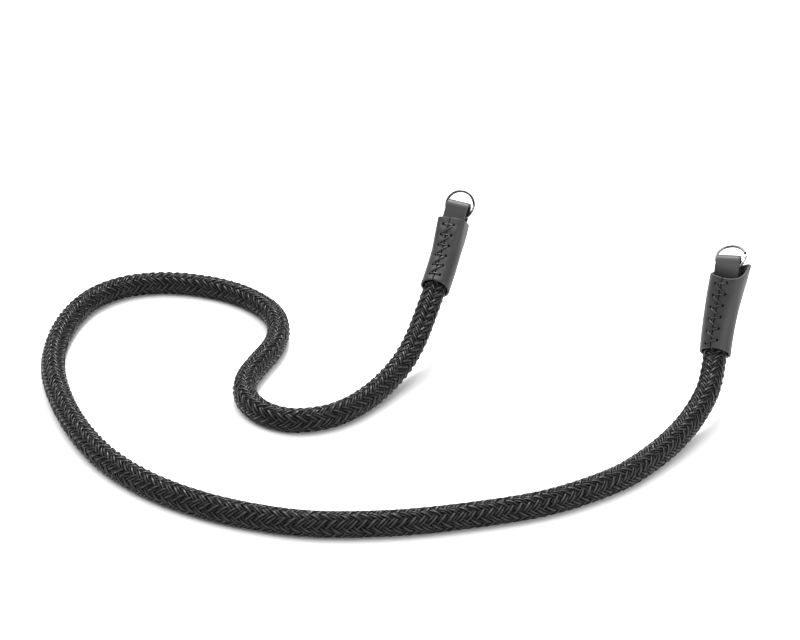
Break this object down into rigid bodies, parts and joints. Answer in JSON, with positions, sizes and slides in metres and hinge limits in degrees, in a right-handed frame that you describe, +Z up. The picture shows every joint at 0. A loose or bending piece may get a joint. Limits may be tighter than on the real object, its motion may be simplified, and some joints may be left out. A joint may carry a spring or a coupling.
{
  "type": "rope strap",
  "caption": "Round braided rope strap with a laced leather sleeve, a folded leather loop and a split ring at each end, held up by its rings with the rope laid in a loop.",
  "frame": {"origin": "midway between the two points that the split rings hang from, the left ring's and the right ring's", "axes": "+X from the left ring's hanging point to the right one's, +Z up, the rope lies towards -Y"},
  "size_m": [0.3419, 0.2403, 0.0729],
  "materials": {
    "rope": "black braided cord of smooth yarns with a soft gloss",
    "leather": "smooth black leather, matte with a slight sheen, laced with waxed thread",
    "ring": "polished"
  },
  "bodies": {
    "root": {"rope": "rope", "sleeve_left": "leather", "sleeve_right": "leather", "tab_left": "leather", "tab_right": "leather", "ring_left": "ring", "ring_right": "ring"}
  },
  "joints": []
}
